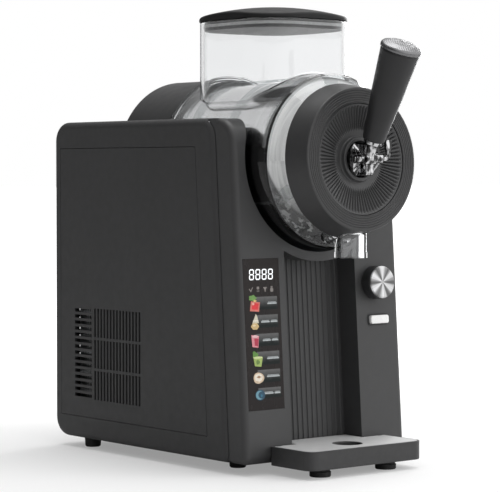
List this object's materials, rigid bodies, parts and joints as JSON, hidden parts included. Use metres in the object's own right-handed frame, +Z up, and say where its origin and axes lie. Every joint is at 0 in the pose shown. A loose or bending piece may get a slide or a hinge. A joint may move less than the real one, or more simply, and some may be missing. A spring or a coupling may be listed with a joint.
{
  "type": "slushie machine",
  "caption": "Countertop slushie machine with a clear freezing barrel, feed tower, front tap lever, touch display and drip tray.",
  "frame": {"origin": "bottom centre of the whole machine, on the surface it stands on", "axes": "+X to the right seen from the front, which is also the shortest side; the front faces -Y; +Z up"},
  "size_m": [0.2, 0.4224, 0.4316],
  "materials": {
    "cover_plastic": "fine spark-eroded grain, satin",
    "fascia_plastic": "fine grain, satin",
    "cap_plastic": "fine grain, satin",
    "insert_plastic": "natural white, smooth",
    "clear_plastic": "clear moulded copolyester, polished",
    "lid_plastic": "fine grain, satin",
    "seal_rubber": "soft translucent silicone",
    "foot_rubber": "matt moulded rubber",
    "steel": "brushed",
    "bright_metal": "polished",
    "grip_plastic": "soft-touch satin",
    "auger_plastic": "smooth",
    "gear_plastic": "natural acetal",
    "bronze": "sintered bronze",
    "copper": "drawn copper tube",
    "fin_aluminium": "rolled sheet",
    "black_metal": "black enamel",
    "screw_steel": "zinc plated",
    "display_glass": "black printed touch glass",
    "board": "solder-masked circuit board",
    "white_button": "smooth moulded"
  },
  "bodies": {
    "body": {"alcove_liner": "fascia_plastic", "base_pan": "black_metal", "body_feet": "foot_rubber", "bulkhead": "auger_plastic", "button_bezel": "grip_plastic", "compressor": "black_metal", "condenser": "fin_aluminium", "control_board": "board", "cover_screws": "screw_steel", "cradle": "fascia_plastic", "display_board": "board", "display_glass": "display_glass", "drive_motor": "black_metal", "drum_housing": "cover_plastic", "evaporator_coil": "copper", "evaporator_drum": "steel", "fan_shroud": "gear_plastic", "fluted_panel": "fascia_plastic", "front_fascia": "fascia_plastic", "gear_plate": "fin_aluminium", "inlet_socket": "black_metal", "left_side_cover": "cover_plastic", "left_vent_panel": "cover_plastic", "power_board": "board", "rear_cover": "cover_plastic", "refrigerant_lines": "copper", "right_side_cover": "cover_plastic", "right_vent_panel": "cover_plastic", "shaft_bushes": "bronze", "shaft_seal": "seal_rubber", "top_deck": "cover_plastic", "vessel_gasket": "seal_rubber"},
    "vessel": {"clear_barrel": "clear_plastic", "feed_tower": "clear_plastic"},
    "lid": {"lid": "lid_plastic", "lid_seal": "seal_rubber"},
    "cap": {"cap_collar": "cap_plastic", "cap_dish": "cap_plastic", "cap_insert": "insert_plastic", "cap_seal": "seal_rubber", "valve_guide": "auger_plastic", "valve_spring": "bright_metal", "hub_bracket": "bright_metal", "pivot_pin": "bright_metal", "spout": "clear_plastic"},
    "lever": {"lever_fork": "bright_metal", "grip": "grip_plastic", "grip_end_cap": "bright_metal"},
    "plunger": {"valve_plunger": "bright_metal"},
    "auger_drive": {"auger": "clear_plastic", "drive_shaft": "steel", "gear_wheel": "gear_plastic"},
    "pinion": {"motor_pinion": "gear_plastic"},
    "fan": {"fan_rotor": "gear_plastic"},
    "knob": {"knob_skirt": "grip_plastic", "knob_cap": "steel"},
    "button": {"push_button": "white_button"},
    "tray": {"tray_body": "cap_plastic", "tray_feet": "foot_rubber"},
    "tray_plate": {"tray_plate": "steel"}
  },
  "joints": [
    {"name": "vessel_slide", "type": "slide", "parent": "body", "child": "vessel", "axis": [0, -1, 0], "range_m": [0, 0.16]},
    {"name": "lid_lift", "type": "slide", "parent": "vessel", "child": "lid", "axis": [0, 0, 1], "range_m": [0, 0.04]},
    {"name": "cap_release", "type": "slide", "parent": "vessel", "child": "cap", "axis": [0, -0.9981, 0.0609], "range_m": [0, 0.035]},
    {"name": "lever_pull", "type": "hinge", "parent": "cap", "child": "lever", "pos_m": [0, -0.1498, 0.28747], "axis": [1, 0, 0], "range_deg": [0, 45], "stiffness_Nm_per_rad": 0.6, "springref_deg": -34.38},
    {"name": "valve_stroke", "type": "slide", "parent": "cap", "child": "plunger", "axis": [0, 0.9981, -0.0609], "range_m": [0, 0.0066]},
    {"name": "auger_spin", "type": "hinge", "parent": "body", "child": "auger_drive", "pos_m": [0, -0.03676, 0.2855], "axis": [0, -1, 0], "continuous": true},
    {"name": "pinion_spin", "type": "hinge", "parent": "body", "child": "pinion", "pos_m": [0, 0.06724, 0.2461], "axis": [0, -1, 0], "continuous": true},
    {"name": "fan_spin", "type": "hinge", "parent": "body", "child": "fan", "pos_m": [-0.059, 0.12324, 0.096], "axis": [1, 0, 0], "continuous": true},
    {"name": "knob_turn", "type": "hinge", "parent": "body", "child": "knob", "pos_m": [0.0666, -0.08522, 0.17041], "axis": [0, -0.9977, 0.0675], "continuous": true},
    {"name": "button_press", "type": "slide", "parent": "body", "child": "button", "axis": [0, 0.9977, -0.0675], "range_m": [0, 0.0018], "stiffness_N_per_m": 600, "springref_m": -0.0015},
    {"name": "tray_slide", "type": "slide", "parent": "body", "child": "tray", "axis": [0, -1, 0], "range_m": [0, 0.09]},
    {"name": "tray_plate_lift", "type": "slide", "parent": "tray", "child": "tray_plate", "axis": [0, 0, 1], "range_m": [0, 0.03]}
  ],
  "couplings": [
    {"joint": "valve_stroke", "follows": "lever_pull", "m_per_rad": 0.008276},
    {"joint": "pinion_spin", "follows": "auger_spin", "ratio": -3.3333}
  ]
}
